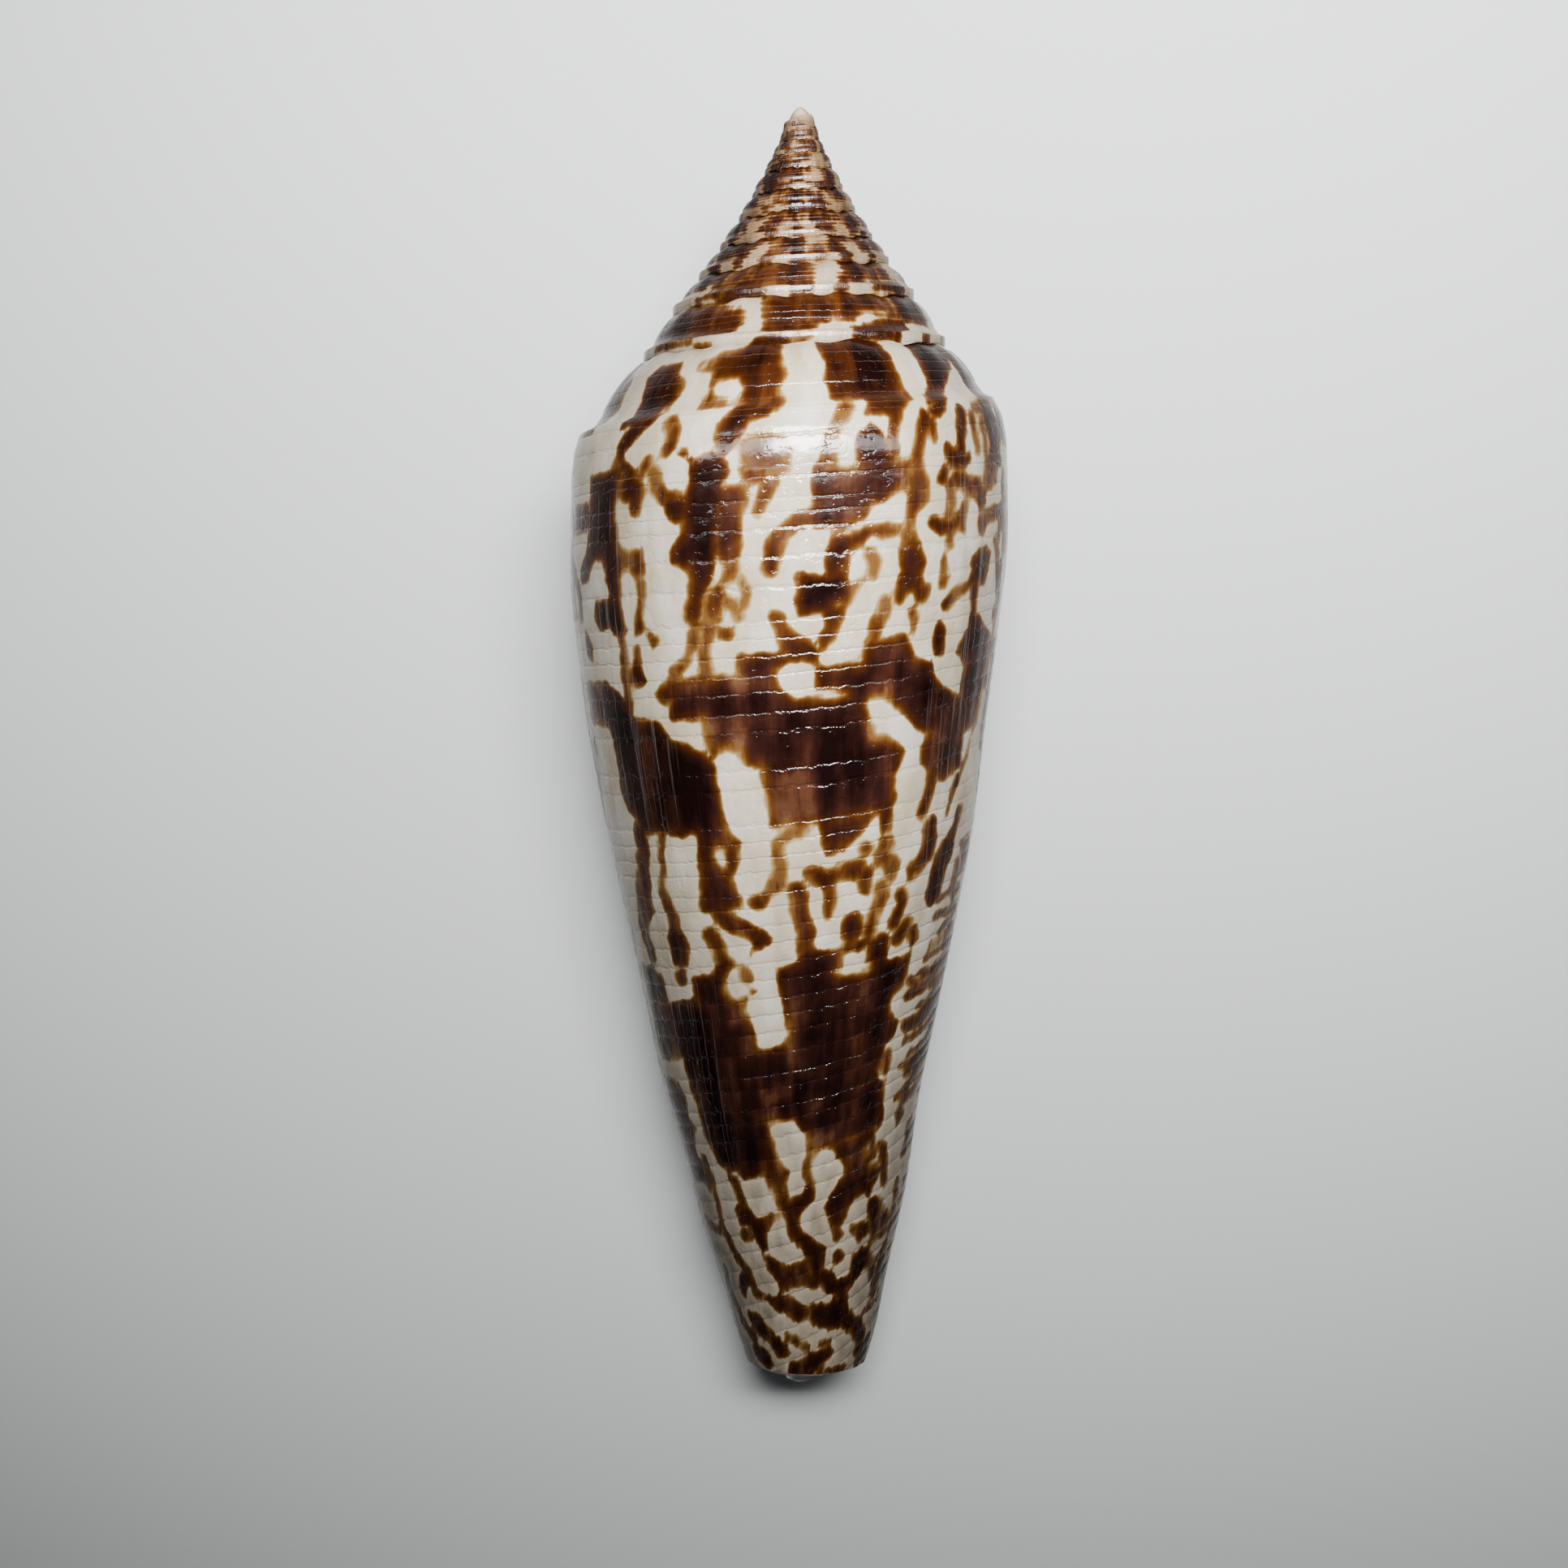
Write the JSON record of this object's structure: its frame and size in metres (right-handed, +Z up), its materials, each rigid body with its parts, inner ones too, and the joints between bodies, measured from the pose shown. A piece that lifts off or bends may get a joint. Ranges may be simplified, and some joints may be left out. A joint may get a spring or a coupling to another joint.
{
  "type": "austral cone sea shell",
  "caption": "Long tapering cone shell with a pointed stepped spire and a narrow aperture underneath, lying on its aperture side; glossy white with brown flame bands, for display.",
  "frame": {"origin": "middle of the shell's footprint, on the surface that it lies on", "axes": "+Y towards the apex of the spire, +Z up, +X to the right as seen from above with the apex away from the viewer"},
  "size_m": [0.0266, 0.0794, 0.0254],
  "materials": {
    "shell": "naturally polished, white with amber to dark brown markings"
  },
  "bodies": {
    "root": {"cone_shell": "shell"}
  },
  "joints": []
}
